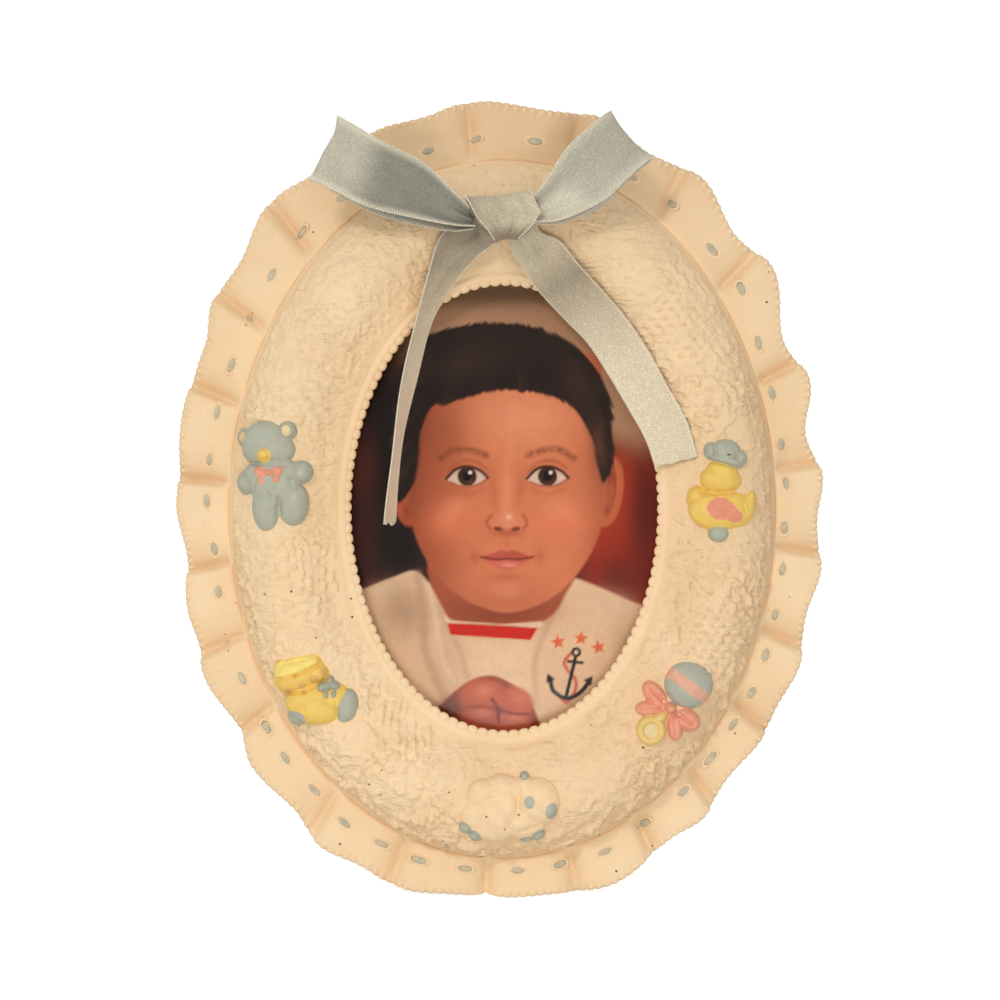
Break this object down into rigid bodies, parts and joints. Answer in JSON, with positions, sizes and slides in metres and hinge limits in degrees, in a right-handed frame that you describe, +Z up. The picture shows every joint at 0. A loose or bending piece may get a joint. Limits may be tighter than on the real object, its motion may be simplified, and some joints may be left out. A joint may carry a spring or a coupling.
{
  "type": "baby photo frame",
  "caption": "Standing oval baby photo frame: cast ring with a ruffled edge, raised nursery figures, satin ribbon bow, glazed print held by turn buttons, folding easel leg.",
  "frame": {"origin": "middle of the flat foot ground on the ruffle's lowest edge, on the surface the frame stands on", "axes": "+Z up, +X to the viewer's right, -Y towards the viewer; the face leans back 15 degrees"},
  "size_m": [0.1711, 0.0753, 0.2029],
  "materials": {
    "cream_bisque": "matt cream, tiny cast pinholes",
    "teddy_bear_glaze": "matt hand-painted blue, yellow and pink",
    "duck_glaze": "matt hand-painted yellow, blue and pink",
    "bootie_glaze": "matt hand-painted yellow, blue and orange",
    "rattle_glaze": "matt hand-painted blue, pink and yellow",
    "lamb_glaze": "matt cream with hand-painted blue dots",
    "blue_satin": "pale grey-blue satin with looped edges",
    "clear_glue": "clear set glue",
    "window_glass": "clear polished",
    "print_paper": "glossy photo print",
    "backing_card": "plain grey-brown board",
    "brown_velvet": "dark brown flocked velvet on board",
    "brass": "satin brass",
    "plug_nylon": "natural nylon"
  },
  "bodies": {
    "frame": {"frame_casting": "cream_bisque", "teddy_bear": "teddy_bear_glaze", "duck": "duck_glaze", "bootie": "bootie_glaze", "rattle": "rattle_glaze", "lamb": "lamb_glaze", "bow_loop_left": "blue_satin", "bow_loop_right": "blue_satin", "bow_knot": "blue_satin", "bow_tail_left": "blue_satin", "bow_tail_right": "blue_satin", "glue_dab": "clear_glue", "window_glass": "window_glass", "photo_print": "print_paper", "backing_board": "backing_card", "velvet_cover": "brown_velvet", "hinge_leaf_fixed": "brass", "hinge_pin": "brass", "rivet_fixed_left": "brass", "rivet_fixed_right": "brass", "button_screw_top_left": "brass", "screw_plug_top_left": "plug_nylon", "button_screw_top_right": "brass", "screw_plug_top_right": "plug_nylon", "button_screw_bottom_left": "brass", "screw_plug_bottom_left": "plug_nylon", "button_screw_bottom_right": "brass", "screw_plug_bottom_right": "plug_nylon"},
    "leg": {"easel_leg": "brown_velvet", "hinge_leaf_moving": "brass", "rivet_leg_left": "brass", "rivet_leg_right": "brass"},
    "button_top_left": {"turn_button_top_left": "brass"},
    "button_top_right": {"turn_button_top_right": "brass"},
    "button_bottom_left": {"turn_button_bottom_left": "brass"},
    "button_bottom_right": {"turn_button_bottom_right": "brass"}
  },
  "joints": [
    {"name": "leg_hinge", "type": "hinge", "parent": "frame", "child": "leg", "pos_m": [0, 0.04177, 0.1256], "axis": [1, 0, 0], "range_deg": [-25, 0]},
    {"name": "button_turn_top_left", "type": "hinge", "parent": "frame", "child": "button_top_left", "pos_m": [-0.04096, 0.04277, 0.13668], "axis": [0, 0.9659, -0.2588], "continuous": true},
    {"name": "button_turn_top_right", "type": "hinge", "parent": "frame", "child": "button_top_right", "pos_m": [0.04163, 0.04294, 0.13732], "axis": [0, 0.9659, -0.2588], "continuous": true},
    {"name": "button_turn_bottom_left", "type": "hinge", "parent": "frame", "child": "button_bottom_left", "pos_m": [-0.04076, 0.02162, 0.05774], "axis": [0, 0.9659, -0.2588], "continuous": true},
    {"name": "button_turn_bottom_right", "type": "hinge", "parent": "frame", "child": "button_bottom_right", "pos_m": [0.04142, 0.02144, 0.0571], "axis": [0, 0.9659, -0.2588], "continuous": true}
  ]
}
